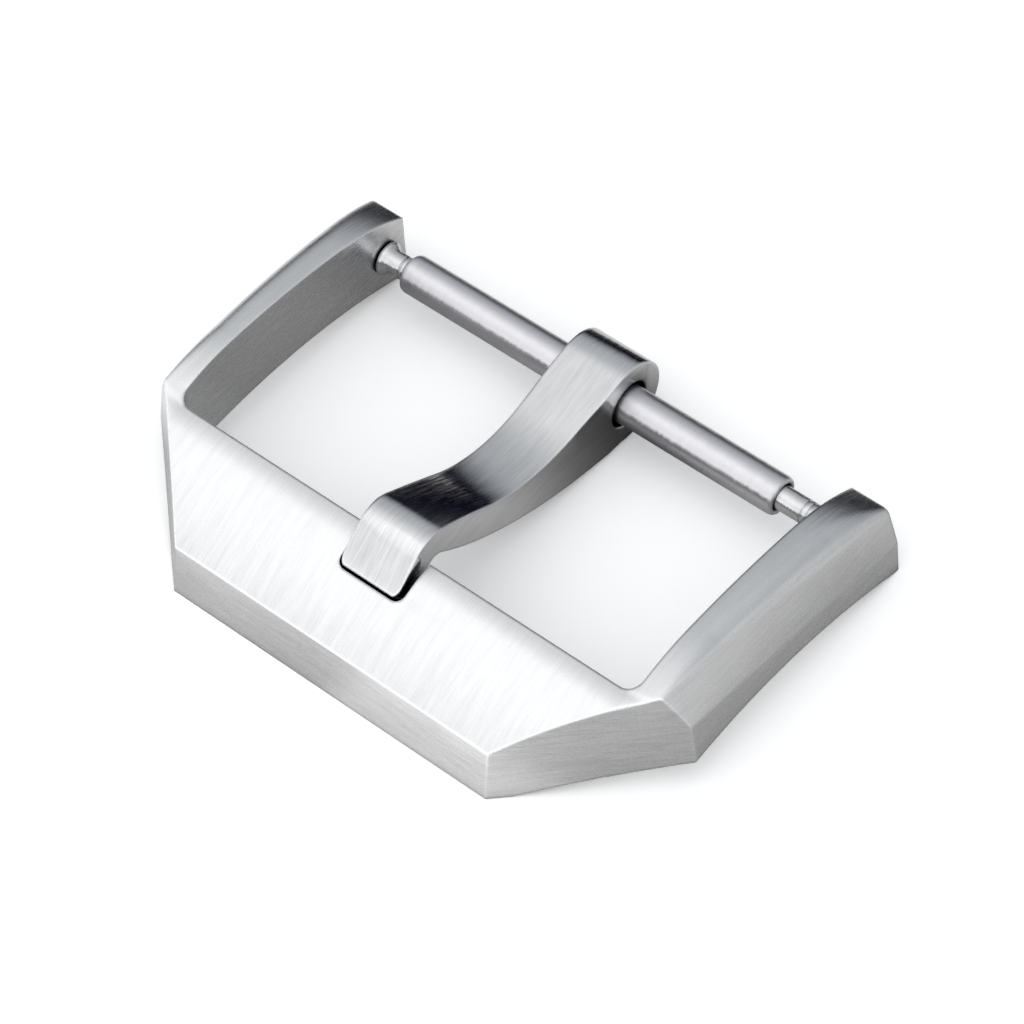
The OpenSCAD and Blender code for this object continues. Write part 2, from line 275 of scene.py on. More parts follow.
def roundCorner(before, corner, after, radius, count):
    # arc points that replace one corner of an outline
    before, corner, after = Vector(before), Vector(corner), Vector(after)
    a, b = (before - corner).normalized(), (after - corner).normalized()
    half = a.angle(b) / 2
    limit = 0.49 * min((before - corner).length, (after - corner).length)  # under half of each side
    reach = min(radius / math.tan(half), limit)
    radius = reach * math.tan(half)
    centre = corner + (a + b).normalized() * (radius / math.sin(half))
    start, end = corner + a * reach - centre, corner + b * reach - centre
    startAngle = math.degrees(math.atan2(start.y, start.x))
    sweep = (math.degrees(math.atan2(end.y, end.x)) - startAngle + 180) % 360 - 180
    return arcPoints(centre, radius, startAngle, startAngle + sweep, count)


def innerDrop(y):
    # soft roll along the window, gone a little way up the arms
    size = frameSize
    if y < windowY:
        share = 1 - (windowY - y) / size["innerRollWidth"]
    else:
        share = 1 - (y - windowY) / size["innerRollReach"]
    return size["innerRollDrop"] * max(0.0, share) ** 2


def frameSection(y):
    # right half of the section across the frame, from under the arm up the outer face to the top
    size = frameSize
    top, bottom = topHeight(y), archHeight(y, archHalf, size["archRise"])
    share = min(1.0, max(0.0, (y - size["changeFrom"]) / (endY - size["changeFrom"])))
    lean = math.tan(math.radians(between(size["armLean"], share)))
    lowZ = min(between(size["lowCrease"], share), top - size["bevelLeast"])
    foot = (halfWidth - bottom * lean, bottom)
    low = (halfWidth - lowZ * lean, lowZ)
    high = (halfWidth - between(size["topCrease"], share), top)
    inner = (size["topHalf"], top - innerDrop(y))
    front, middle, back = size["topCreaseSoft"]
    soft = between((front, back), share) + (middle - (front + back) / 2) * math.sin(math.pi * share)
    points = [foot]
    points += roundCorner(foot, low, high, between(size["lowCreaseSoft"], share), frameSteps["lowCrease"])
    points += roundCorner(low, high, inner, soft, frameSteps["topCrease"])
    points.append(inner)
    return points


def loftFrame():
    # sections from before the front edge to the arm ends, left half mirrored from the right
    lead, steps = frameSize["sectionLead"], frameSteps["sections"]
    rings = []
    for i in range(steps + 1):
        y = frontY - lead + (endY - frontY + lead) * i / steps
        half = frameSection(y)
        rings.append([(x, y, z) for x, z in half] + [(-x, y, z) for x, z in reversed(half)])
    return closedLoft(rings)


def cutFront(bm):
    # front face, and the cut corner on each side of it
    size = frameSize
    lean = math.radians(size["frontLean"])
    slicePlane(bm, (0, frontY, 0), (0, -math.cos(lean), math.sin(lean)), True)
    turn, lean = math.radians(size["cornerTurn"]), math.radians(size["cornerLean"])
    noseX = halfWidth - size["cornerCut"]
    for side in (1, -1):
        normal = (side * math.sin(turn) * math.cos(lean), -math.cos(turn) * math.cos(lean), math.sin(lean))
        slicePlane(bm, (side * noseX, frontY, 0), normal, True)


def cutWindow(piece):
    # strap window with round front corners, open to the back
    half, r = frameSize["strap"] / 2, frameSize["windowRound"]
    back, steps = frameSize["windowBack"], frameSteps["window"]
    plan = arcPoints((half - r, windowY + r), r, 0, -90, steps)
    plan += arcPoints((r - half, windowY + r), r, -90, -180, steps)
    plan += [(-half, back), (half, back)]
    cutAway(piece, makeObject("window", prismZ(plan, -past, blockTop)))


def cutRelief(piece):
    # hollow for the strap under the front bar
    size = frameSize
    half, rise = archHalf - size["reliefStart"], size["archRise"] + size["reliefDepth"]
    under = []
    steps = frameSteps["relief"]
    for i in range(steps + 1):
        y = archMiddle - half + 2 * half * i / steps
        under.append((y, archHeight(y, half, rise)))
    under += [(archMiddle + half, -past), (archMiddle - half, -past)]
    reach = size["strap"] / 2 - size["reliefInset"]
    cutAway(piece, makeObject("relief", prismX(under, -reach, reach)))


def cutNotch(piece):
    # notch that the tip of the tang lies in
    half, r = notchSize["width"] / 2, notchSize["round"]
    farY, steps = windowY - notchSize["length"], frameSteps["notch"]
    plan = arcPoints((r - half, farY + r), r, 180, 270, steps)
    plan += arcPoints((half - r, farY + r), r, 270, 360, steps)
    plan += [(half, windowY + past), (-half, windowY + past)]
    cutAway(piece, makeObject("notch", prismZ(plan, notchSize["floor"], blockTop)))


def buildFrame():
    size = frameSize
    bm = loftFrame()
    cutFront(bm)
    piece = makeObject("bevelled_frame", bm)
    cutWindow(piece)
    cutRelief(piece)
    cutNotch(piece)

    # blind holes for the plunger tips
    start, end = size["strap"] / 2 - size["holeLead"], size["strap"] / 2 + size["holeDepth"]
    for side in (1, -1):
        drill(piece, size["holeRadius"], side * start, side * end, frameSteps["hole"])
    softenEdges(piece, size["edgeSoft"])
    smoothShade(piece)
    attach(piece, "frame")
    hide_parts("buckle_frame")
    return piece


# tang: eye on the bar, hollow, rise, hump and tip, all from the bar axis, slopes in degrees
tangSize = {
    "width": 2.5,
    "waist": 0.12,          # each side is drawn in by this much
    "waistAhead": 0.4,      # the waist starts this far behind the hump's corner
    "waistEnd": -1.2,       # and ends here
    "waistPower": 0.8,      # under 1 keeps the waist narrow for longer
    "eyeRadius": 1.7,
    "boreRadius": 0.94,
    "dipSlope": 13.0,
    "riseSlope": 28.5,
    "riseSwell": 2.0,       # the rise is this much steeper where it starts, and less where it ends
    "tipSlope": 42.0,
    "dipRound": 6.2,
    "humpRound": 1.3,
    "humpAhead": 1.79,      # the hump's corner lies this far behind the tip
    "tipEnd": (-12.36, 1.8),
    "tipThick": 1.0,
    "tipRound": 0.35,
    "tipPast": 0.04,        # the plan reaches this far past the tip
    "eyeDrop": 0.08,        # the eye stands out this far under the long underside
    "bellyTurn": 2.0,       # most of all here, round from straight below
    "bellyEnd": 272.0,      # the underside's circle is followed up to this angle
    "eyeStart": 1.0,        # the eye starts this many degrees on from its last point
    "throatBack": 0.1,      # the inner corner under the hump lies this far behind its middle
    "throatRound": 0.5,
    "throatSkip": 6,        # that round takes the place of so many points of the underside
    "edgeSoft": 0.07,
    "tipCut": 15,           # degrees between the cross cuts round the tip
    "firstCut": 0.15,       # the next cut lies this far behind them
    "cutStep": 0.2,         # and the others follow at this distance
}
tangSteps = {"eye": 90, "dip": 44, "rise": 14, "hump": 28, "throat": 8, "belly": 90}
tipFront = tangSize["tipEnd"][0] - tangSize["tipPast"]


def slopeUp(angle):
    # direction that is square to a slope and points up
    a = math.radians(angle)
    return Vector((-math.sin(a), math.cos(a)))


def lineCross(p, a, q, b):
    # crossing of two straight lines given by a point and a slope in degrees
    ta, tb = math.tan(math.radians(a)), math.tan(math.radians(b))
    y = (q.y - p.y + p.x * ta - q.x * tb) / (ta - tb)
    return Vector((y, p.y + (y - p.x) * ta))


def roundCentre(corner, a, b, radius, side):
    # centre of a round between two slopes that meet in a corner, above it (1) or below it (-1)
    return corner + side * radius / math.cos(math.radians(abs(a - b) / 2)) * slopeUp((a + b) / 2)


def easedLine(start, end, low, high, steps):
    # points between two arcs that leave and meet them at their own slopes
    a, b = Vector(start), Vector(end)
    reach = (b - a).length
    leave = -reach * Vector((math.cos(math.radians(low)), -math.sin(math.radians(low))))
    meet = -reach * Vector((math.cos(math.radians(high)), -math.sin(math.radians(high))))
    line = []
    for i in range(1, steps):
        t = i / steps
        here = (2 * t ** 3 - 3 * t ** 2 + 1) * a + (t ** 3 - 2 * t ** 2 + t) * leave
        line.append(tuple(here + (3 * t ** 2 - 2 * t ** 3) * b + (t ** 3 - t ** 2) * meet))
    return line


def tangOutline():
    # side view of the tang, y and z from the bar axis, from the eye over the hump and back below
    size = tangSize
    eyeR, dipSlope = size["eyeRadius"], size["dipSlope"]
    riseSlope, tipSlope = size["riseSlope"], size["tipSlope"]
    tipEnd = Vector(size["tipEnd"])
    tipBase = tipEnd - size["tipThick"] * slopeUp(tipSlope)
    hump = Vector((tipEnd.x + size["humpAhead"], 0))
    hump.y = tipEnd.y + size["humpAhead"] * math.tan(math.radians(tipSlope))
    dip = lineCross(eyeR * slopeUp(dipSlope), dipSlope, hump, -riseSlope)
    dipC = roundCentre(dip, dipSlope, -riseSlope, size["dipRound"], 1)
    humpC = roundCentre(hump, -riseSlope, tipSlope, size["humpRound"], -1)
    throat = Vector((humpC.x + size["throatBack"], humpC.y + size["humpRound"] - size["tipThick"]))

    # long underside, a circle that the eye stands out of a little
    up, inner = slopeUp(size["bellyTurn"]), eyeR - size["eyeDrop"]
    bellyR = (inner ** 2 + 2 * inner * up.dot(throat) + throat.dot(throat)) / (2 * (inner + up.dot(throat)))
    bellyC = (bellyR - inner) * up
    toThroat = throat - bellyC
    start = math.degrees(math.atan2(toThroat.y, toThroat.x)) % 360
    belly = arcPoints(bellyC, bellyR, start, size["bellyEnd"], tangSteps["belly"])
    belly = [p for p in belly if math.hypot(*p) > eyeR]
    meet = math.degrees(math.atan2(belly[-1][1], belly[-1][0])) + size["eyeStart"]

    points = arcPoints((0, 0), eyeR, meet, 90 + dipSlope, tangSteps["eye"])
    low, high = riseSlope + size["riseSwell"], riseSlope - size["riseSwell"]
    points += arcPoints(dipC, size["dipRound"], 270 + dipSlope, 270 - low, tangSteps["dip"])
    over = arcPoints(humpC, size["humpRound"], 90 - high, 90 + tipSlope, tangSteps["hump"])
    points += easedLine(points[-1], over[0], low, high, tangSteps["rise"])
    points += over
    points += [tuple(tipEnd), tuple(tipBase)]

    # the inner corner under the hump is a small round between tip and underside
    skip = size["throatSkip"]
    points += roundCorner(tipBase, throat, belly[skip], size["throatRound"], tangSteps["throat"])
    points += belly[skip + 1:]
    return points


def tangHalfWidth(y):
    # half width of the tang at y from the bar axis, drawn in at the waist and round at the tip
    size = tangSize
    half, r = size["width"] / 2, size["tipRound"]
    if y < tipFront + r:
        inside = r * r - (tipFront + r - y) ** 2
        return half - r + math.sqrt(max(0.0, inside))
    start, end = size["tipEnd"][0] + size["humpAhead"] + size["waistAhead"], size["waistEnd"]
    if start < y < end:
        share = (y - start) / (end - start)
        return half - size["waist"] * math.sin(math.pi * share) ** size["waistPower"]
    return half


def crossCuts():
    # places along Y where the tang is cut across, so that its sides can bend
    size = tangSize
    cuts = []
    for a in range(size["tipCut"], 91, size["tipCut"]):
        cuts.append(tipFront + size["tipRound"] * (1 - math.cos(math.radians(a))))
    y = tipFront + size["tipRound"] + size["firstCut"]
    while y < size["eyeRadius"]:
        cuts.append(y)
        y += size["cutStep"]
    return cuts


def buildTang():
    size = tangSize
    bm = prismX(tangOutline(), -1, 1)  # its sides are moved to their real places below
    for y in crossCuts():
        slicePlane(bm, (0, y, 0), (0, 1, 0), False)
    for v in bm.verts:
        v.co.x = math.copysign(tangHalfWidth(v.co.y), v.co.x)
        v.co += Vector((tangX, barY, barZ))
    piece = makeObject("curved_tang", bm)
    drill(piece, size["boreRadius"], tangX - size["width"], tangX + size["width"])
    softenEdges(piece, size["edgeSoft"])
    smoothShade(piece)
    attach(piece, "tang")
    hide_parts("tang")
    return piece


# spring bar: rolled tube, and two turned plungers whose necks show
tubeSize = {
    "radius": 0.75,
    "boreRadius": 0.57,
    "lipRadius": 0.535,
    "lipLength": 0.25,
    "lipFlare": (0.03, 0.04),  # the lip's mouth is wider by the first over a length of the second
    "shoulder": 0.22,          # the rolled end draws in over this length
    "shoulderDrop": 0.08,
    "shoulderTurn": 72,        # degrees of arc in the roll
    "endEdge": 0.02,
}
tubeSteps = {"roll": 8, "body": 12}
plungerSize = {
    "headClear": 0.03,         # the head is this much smaller than the bore
    "headLength": 2.4,
    "headEdge": 0.08,          # cut edges of the head and the tip
    "backEdge": 0.02,          # cut edge behind the head
    "shaftRadius": 0.46,
    "groovePlaces": (0.74, 0.52),  # fine grooves in the neck, from the cone
    "grooveDepth": 0.05,
    "grooveWidth": 0.06,
    "grooveSlope": 0.015,
    "coneRoot": (0.02, 0.05),  # the cone first rises by this over this length
    "flangeRadius": 0.65,
    "flangeThick": 0.14,
    "flangeCone": 0.24,
    "rimEdge": 0.02,
    "flangeEdge": 0.03,
    "pinRadius": 0.4,
    "pinLength": 0.7,
    "edgeSoft": 0.01,
    "edgeAngle": 25,
    "edgeSegments": 2,
}


def buildTube():
    size = tubeSize
    middle, end = (tubeLow.x + tubeHigh.x) / 2, (tubeHigh.x - tubeLow.x) / 2
    r, lip, bore = size["radius"], size["lipRadius"], size["boreRadius"]
    body = end - size["shoulder"]

    # right end: the rolled shoulder, the end face, the lip, and its step out to the bore
    right = []
    turn, steps = size["shoulderTurn"], tubeSteps["roll"]
    for i in range(steps + 1):
        a = math.radians(turn * i / steps)
        inward = (1 - math.cos(a)) / (1 - math.cos(math.radians(turn)))
        outward = math.sin(a) / math.sin(math.radians(turn))
        right.append((r - size["shoulderDrop"] * inward, body + size["shoulder"] * outward))
    flare, flareLength = size["lipFlare"]
    right += [(r - size["shoulderDrop"] - size["endEdge"], end), (lip + flare, end), (lip, end - flareLength)]
    right += [(lip, end - size["lipLength"]), (bore, end - size["lipLength"])]

    # outer face to the right end, then the left end, mirrored, back to the start
    steps = tubeSteps["body"]
    outer = [(r, -body + 2 * body * i / steps) for i in range(1, steps)]
    profile = outer + right + [(p, -x) for p, x in reversed(right)]
    piece = lathe("rolled_tube", [(p, x + middle) for p, x in profile])
    smoothShade(piece)
    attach(piece, "bar")
    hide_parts("spring_bar_tube")
    return piece


def buildPlunger(node, side):
    # one plunger from its head in the tube to its tip in the arm
    size = plungerSize
    low, high = (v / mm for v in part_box(node))
    headX, tipX = (low.x, high.x) if side > 0 else (-high.x, -low.x)
    flangeX = tipX - size["pinLength"]
    rimX = flangeX - size["flangeThick"]
    coneX = rimX - size["flangeCone"]
    headEnd = headX + size["headLength"]
    headR = tubeSize["boreRadius"] - size["headClear"]
    shaft, flange, pin = size["shaftRadius"], size["flangeRadius"], size["pinRadius"]

    edge, back = size["headEdge"], size["backEdge"]
    profile = [(0, headX), (headR - edge, headX), (headR, headX + edge)]
    profile += [(headR, headEnd - back), (headR - back, headEnd), (shaft, headEnd)]
    depth, width, slope = size["grooveDepth"], size["grooveWidth"], size["grooveSlope"]
    for place in size["groovePlaces"]:
        start = coneX - place
        profile += [(shaft, start), (shaft - depth, start + slope)]
        profile += [(shaft - depth, start + width), (shaft, start + width + slope)]
    rootRise, rootLength = size["coneRoot"]
    rim, outer = size["rimEdge"], size["flangeEdge"]
    profile += [(shaft, coneX), (shaft + rootRise, coneX + rootLength)]
    profile += [(flange - rim, rimX - rim), (flange, rimX)]
    profile += [(flange, flangeX - outer), (flange - outer, flangeX)]
    profile += [(pin, flangeX), (pin, tipX - edge), (pin - edge, tipX), (0, tipX)]

    name = ("left" if side < 0 else "right") + "_turned_plunger"
    piece = lathe(name, [(r, side * x) for r, x in profile])
    softenEdges(piece, size["edgeSoft"], size["edgeAngle"], size["edgeSegments"])
    smoothShade(piece)
    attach(piece, node)
    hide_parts(node)
    return piece


# steel finishes: colour, roughness, streaks per mm across and along, their depth, tilt and contrast,
# how strong the broad patches are, and how much the brushing spreads the light
frameFinish = {
    "tone": (0.72, 0.725, 0.735), "rough": 0.27, "across": 13.0, "along": 0.7,
    "bump": 0.5, "tilt": 0.16, "contrast": 0.22, "mottle": 0.07, "grain": 0.6,
}
tangFinish = {
    "tone": (0.655, 0.66, 0.67), "rough": 0.16, "across": 16.0, "along": 0.9,
    "bump": 0.35, "tilt": 0.2, "contrast": 0.42, "mottle": 0.05, "grain": 0.8,
}
tubeFinish = {
    "tone": (0.655, 0.65, 0.675), "rough": 0.34, "across": 9.0, "along": 1.2,
    "bump": 0.3, "tilt": 0.2, "contrast": 0.14, "mottle": 0.08, "grain": 0.5,
}
plungerFinish = {
    "tone": (0.66, 0.66, 0.67), "rough": 0.24, "across": 12.0, "along": 1.5,
    "bump": 0.4, "tilt": 0.3, "contrast": 0.2, "mottle": 0.08, "grain": 0.4,
}
wireFinish = {
    "tone": (0.5, 0.5, 0.52), "rough": 0.3, "across": 10.0, "along": 3.0,
    "bump": 0.2, "tilt": 0.2, "contrast": 0.15, "mottle": 0.05, "grain": 0.3,
}

# what all the steels share, lengths in mm
steelLook = {
    "wideAcross": 2.5,       # the broad streaks are this much wider
    "wideAlong": 1.5,        # and this much longer
    "wideTone": 0.8,         # and vary the colour this much of what the fine ones do
    "mottleScale": (0.6, 0.45, 0.6),
    "fineScale": (9, 9, 9),
    "detail": {"streaks": 3, "wide": 2, "mottle": 3, "fine": 2},
    "gapShadeReach": 0.7,         # painted shade darkens what lies this close to a narrow gap
    "gapShadeOpen": (0.1, 0.8),   # from this openness to this
    "gapShadeTone": (0.08, 1.0),  # painted shade darkens the colour by these factors
    "edgeRound": 0.15,       # edges catch the light as if they were this round
    "edgeTurn": (0.93, 0.995),   # cosine of the turn of the surface, at a worn edge with a painted highlight and off it
    "edgeWearAndHighlight": 0.22,        # a worn edge is painted this much brighter, as wear and as a highlight
    "edgeRough": -0.05,      # and smoother
    "streakRough": 0.2,
    "fineRough": 0.06,
    "bumpHeight": 0.012,
    "bumpFine": 0.7,         # share of the fine streaks in the bump
    "tiltFine": 0.9,         # and in the tilt
    "samples": 6,            # for the painted gap shade and the edges
}
topGrain = (0.55, 0.75)      # the walls' brushing starts where the surface faces sideways this much
frontGrain = (0.55, 0.65)    # the front faces' brushing, where it faces forwards this much
frontRise = (0.35, 0.55)     # and up no more than this
noiseRough = 0.6             # how much the finer steps of a pattern count


class NodeDesk:
    # places and links shader nodes with few words; a value may be a number, a colour or a socket

    def __init__(self, tree):
        tree.nodes.clear()
        self.tree = tree
        self.column = 0

    def add(self, kind, **values):
        spacing = 200
        node = self.tree.nodes.new(kind)
        node.location = (self.column * spacing, 0)
        self.column += 1
        for key, value in values.items():
            setattr(node, key, value)
        return node

    def feed(self, socket, value):
        if isinstance(value, bpy.types.NodeSocket):
            self.tree.links.new(value, socket)
        else:
            socket.default_value = value

    def math(self, operation, *values):
        node = self.add("ShaderNodeMath", operation=operation)
        for i, value in enumerate(values):
            self.feed(node.inputs[i], value)
        return node.outputs[0]

    def vector(self, operation, *values):
        node = self.add("ShaderNodeVectorMath", operation=operation)
        for i, value in enumerate(values):
            self.feed(node.inputs[i], value)
        return node.outputs["Value" if operation in ("DOT_PRODUCT", "DISTANCE") else "Vector"]

    def scaled(self, vector, amount):
        node = self.add("ShaderNodeVectorMath", operation="SCALE")
        self.feed(node.inputs[0], vector)
        self.feed(node.inputs["Scale"], amount)
        return node.outputs[0]

    def apart(self, vector):
        # the three parts, read as ["X"], ["Y"] and ["Z"]
        node = self.add("ShaderNodeSeparateXYZ")
        self.feed(node.inputs[0], vector)
        return node.outputs

    def coords(self, kind):
        return self.add("ShaderNodeTexCoord").outputs[kind]

    def ramp(self, value, span, ends):
        # over the span of the value, a smooth change from the first of the ends to the second
        node = self.add("ShaderNodeMapRange", interpolation_type="SMOOTHSTEP")
        self.feed(node.inputs["Value"], value)
        self.feed(node.inputs["From Min"], span[0])
        self.feed(node.inputs["From Max"], span[1])
        self.feed(node.inputs["To Min"], ends[0])
        self.feed(node.inputs["To Max"], ends[1])
        return node.outputs["Result"]

    def curve(self, value, points):
        # smooth curve through points between 0 and 1
        node = self.add("ShaderNodeFloatCurve")
        line = node.mapping.curves[0]
        while len(line.points) < len(points):
            line.points.new(0.5, 0.5)
        for point, place in zip(line.points, points):
            point.location = place
            point.handle_type = "AUTO_CLAMPED"
        node.mapping.update()
        self.feed(node.inputs["Value"], value)
        return node.outputs["Value"]

    def toWorld(self, vector):
        node = self.add("ShaderNodeVectorTransform", vector_type="VECTOR")
        node.convert_from = "OBJECT"
        node.convert_to = "WORLD"
        self.feed(node.inputs[0], vector)
        return node.outputs[0]

    def noise(self, coords, scale, detail):
        # stretched noise, scale in features per mm along x, y and z
        mapping = self.add("ShaderNodeMapping")
        self.feed(mapping.inputs["Scale"], [s / mm for s in scale])
        self.feed(mapping.inputs["Vector"], coords)
        node = self.add("ShaderNodeTexNoise")
        self.feed(node.inputs["Scale"], 1.0)
        self.feed(node.inputs["Detail"], detail)
        self.feed(node.inputs["Roughness"], noiseRough)
        self.feed(node.inputs["Vector"], mapping.outputs[0])
        return node.outputs["Fac"]

    def mix(self, share, first, second):
        node = self.add("ShaderNodeMix", data_type="FLOAT")
        self.feed(node.inputs["Factor"], share)
        self.feed(node.inputs["A"], first)
        self.feed(node.inputs["B"], second)
        return node.outputs["Result"]

    def mixVectors(self, share, first, second):
        node = self.add("ShaderNodeMix", data_type="VECTOR")
        self.feed(node.inputs["Factor"], share)
        self.feed(node.inputs[4], first)   # the vector pair comes after the number pair
        self.feed(node.inputs[5], second)
        return node.outputs[1]

    def product(self, values):
        total = values[0]
        for value in values[1:]:
            total = self.math("MULTIPLY", total, value)
        return total

    def swing(self, value, amount):
        # a pattern between 0 and 1 becomes one between minus and plus half the amount
        return self.math("MULTIPLY", self.math("SUBTRACT", value, 0.5), amount)


def frontFaces(desk, facing):
    # 1 on the front face and the cut corners, 0 elsewhere
    parts = desk.apart(facing)
    forwards = desk.ramp(desk.math("ABSOLUTE", parts["Y"]), frontGrain, (0, 1))
    return desk.math("MULTIPLY", forwards, desk.ramp(parts["Z"], frontRise, (1, 0)))


def acrossGrain(desk, facing, grain):
    # direction that the light spreads in: along the surface, across the brushing
    if grain == "turned":
        return desk.vector("CROSS_PRODUCT", desk.vector("CROSS_PRODUCT", facing, (1, 0, 0)), facing)
    way = desk.vector("CROSS_PRODUCT", (0, 1, 0), facing)
    if grain == "frame":
        up = desk.vector("CROSS_PRODUCT", desk.vector("CROSS_PRODUCT", facing, (0, 0, 1)), facing)
        way = desk.mixVectors(frontFaces(desk, facing), way, up)
    return way


def brushing(desk, place, facing, grain, across, along, detail):
    # stretched noise along the brushing
    if grain == "turned":
        return desk.noise(place, (across, along, along), detail)
    # streaks run along Y: side by side in X on top, and in Z on the walls
    wall = desk.ramp(desk.math("ABSOLUTE", desk.apart(facing)["X"]), topGrain, (0, 1))
    level = desk.noise(place, (along, along, across), detail)
    streaks = desk.mix(wall, desk.noise(place, (across, along, along), detail), level)
    if grain == "frame":
        # front and corner faces are brushed level
        streaks = desk.mix(frontFaces(desk, facing), streaks, level)
    return streaks


def brushedSteel(name, finish, grain):
    # grain is frame, long (along Y), or turned (rings round X)
    look, detail = steelLook, steelLook["detail"]
    material = bpy.data.materials.new(name)
    material.use_nodes = True
    desk = NodeDesk(material.node_tree)
    place, facing = desk.coords("Object"), desk.coords("Normal")
    across, along = finish["across"], finish["along"]
    streaks = brushing(desk, place, facing, grain, across, along, detail["streaks"])
    wideAcross, wideAlong = across / look["wideAcross"], along / look["wideAlong"]
    wide = brushing(desk, place, facing, grain, wideAcross, wideAlong, detail["wide"])
    mottle = desk.noise(place, look["mottleScale"], detail["mottle"])
    fine = desk.noise(place, look["fineScale"], detail["fine"])

    # colour varies with the streaks and with broad soft patches, and painted shade darkens it down in narrow
    # gaps
    tone = desk.swing(streaks, finish["contrast"])
    tone = desk.math("ADD", tone, desk.swing(wide, finish["contrast"] * look["wideTone"]))
    tone = desk.math("ADD", tone, desk.swing(mottle, finish["mottle"]))
    tone = desk.math("ADD", tone, 1.0)
    # painted shade: the colour is darkened where nearby surfaces close the surface in
    paintedGapShade = desk.add("ShaderNodeAmbientOcclusion", samples=look["samples"])
    desk.feed(paintedGapShade.inputs["Distance"], look["gapShadeReach"] * mm)
    tone = desk.math("MULTIPLY", tone, desk.ramp(paintedGapShade.outputs["AO"], look["gapShadeOpen"], look["gapShadeTone"]))

    # edges are worn a little smoother, and painted brighter, as wear and as a highlight
    rounded = desk.add("ShaderNodeBevel", samples=look["samples"])
    desk.feed(rounded.inputs["Radius"], look["edgeRound"] * mm)
    flat = desk.add("ShaderNodeNewGeometry").outputs["Normal"]
    turned = desk.vector("DOT_PRODUCT", rounded.outputs[0], flat)
    wearAndHighlight = desk.ramp(turned, look["edgeTurn"], (1, 0))
    # painted highlight: the colour of worn edges is lifted, as if they caught the light
    tone = desk.math("MULTIPLY_ADD", wearAndHighlight, look["edgeWearAndHighlight"], tone)

    rough = desk.swing(streaks, look["streakRough"])
    rough = desk.math("ADD", rough, desk.swing(fine, look["fineRough"]))
    rough = desk.math("ADD", rough, finish["rough"])
    rough = desk.math("MULTIPLY_ADD", wearAndHighlight, look["edgeRough"], rough)
    height = desk.math("MULTIPLY", wide, 1 - look["bumpFine"])
    height = desk.math("ADD", desk.math("MULTIPLY", streaks, look["bumpFine"]), height)
    bump = desk.add("ShaderNodeBump")
    desk.feed(bump.inputs["Strength"], finish["bump"])
    desk.feed(bump.inputs["Distance"], look["bumpHeight"] * mm)
    desk.feed(bump.inputs["Height"], height)
    desk.feed(bump.inputs["Normal"], rounded.outputs[0])

    # each streak is also tipped a little along the brushing, which makes it flash or darken
    spread = acrossGrain(desk, facing, grain)
    both = desk.math("MULTIPLY", streaks, look["tiltFine"])
    both = desk.math("MULTIPLY_ADD", wide, 1 - look["tiltFine"], both)
    lengthways = desk.toWorld(desk.vector("CROSS_PRODUCT", facing, spread))
    tip = desk.scaled(lengthways, desk.swing(both, finish["tilt"]))
    normal = desk.vector("NORMALIZE", desk.vector("ADD", bump.outputs[0], tip))

    shader = desk.add("ShaderNodeBsdfPrincipled")
    desk.feed(shader.inputs["Metallic"], 1.0)
    desk.feed(shader.inputs["Anisotropic"], finish["grain"])
    desk.feed(shader.inputs["Tangent"], desk.toWorld(spread))
    desk.feed(shader.inputs["Base Color"], desk.scaled(finish["tone"], tone))
    desk.feed(shader.inputs["Roughness"], rough)
    desk.feed(shader.inputs["Normal"], normal)
    output = desk.add("ShaderNodeOutputMaterial")
    desk.feed(output.inputs["Surface"], shader.outputs[0])
    return material


def giveFinish(piece, material):
    # in place of what the cuts or the import left
    piece.data.materials.clear()
    piece.data.materials.append(material)
    for polygon in piece.data.polygons:
        polygon.material_index = 0


print("making the frame")
giveFinish(buildFrame(), brushedSteel("brushed_frame_steel", frameFinish, "frame"))
print("making the tang")
giveFinish(buildTang(), brushedSteel("brushed_tang_steel", tangFinish, "long"))
print("making the spring bar")
giveFinish(buildTube(), brushedSteel("satin_tube_steel", tubeFinish, "turned"))
plungerSteel = brushedSteel("turned_plunger_steel", plungerFinish, "turned")
for node, side in (("left_plunger", -1), ("right_plunger", 1)):
    giveFinish(buildPlunger(node, side), plungerSteel)
giveFinish(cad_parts["coil_spring"], brushedSteel("drawn_wire_steel", wireFinish, "long"))


# studio, lengths in mm: white floor, a card painted with the buckle's shade and with light for the metal to
# mirror, and one weak lamp
studio = {
    "floorReach": 600.0,
    "floorHeight": -0.02,
    "floorTone": (1.0, 1.0, 1.0, 1.0),
    "floorLift": 0.16,       # the floor is this much lighter where it is seen
    "cardReach": 550.0,
    "cardHeight": -0.01,
    "cardTone": (1.0, 0.985, 0.97),
    "lampPlace": (-50, -90, 160),
    "lampSize": 160,
    "lampPower": 0.010,
}

# patches of painted shade and light on the card: how much each changes the card's level, and the ramps whose
# product is its share
# a ramp has an axis, two places along it in mm, and its value at each
cardPaintedLightAndShade = {
    "near": (-0.5, [("X", (-14, -12), (0, 1)), ("X", (15, 20), (1, 0.55)), ("Y", (-12, -9.5), (0, 1))]),
    "behind": (-1.0, [("Y", (7.6, 9.5), (0, 1)), ("X", (8, 12), (0.7, 0.15))]),
    "front": (0.12, [("Y", (-8, -5), (1, 0))]),
    "left": (-0.28, [
        ("X", (-6, -2), (1, 0)), ("Y", (6, 8.5), (1, 0)),
        ("Y", (-3.2, 0.5), (-0.3, 1)), ("X", (-12, -10), (0, 1)),
    ]),
    "right": (0.4, [("X", (-1, 1), (0, 1)), ("X", (8, 10), (1, 0)), ("Y", (0.5, 4.5), (1, 0))]),
    "wall": (-0.1, [("X", (9, 11), (0, 1)), ("X", (13.5, 16), (1, 0))]),
    "far": (-1.0, [("Y", (12, 22), (0, 1)), ("X", (8, 16), (0.97, 0.3))]),
}
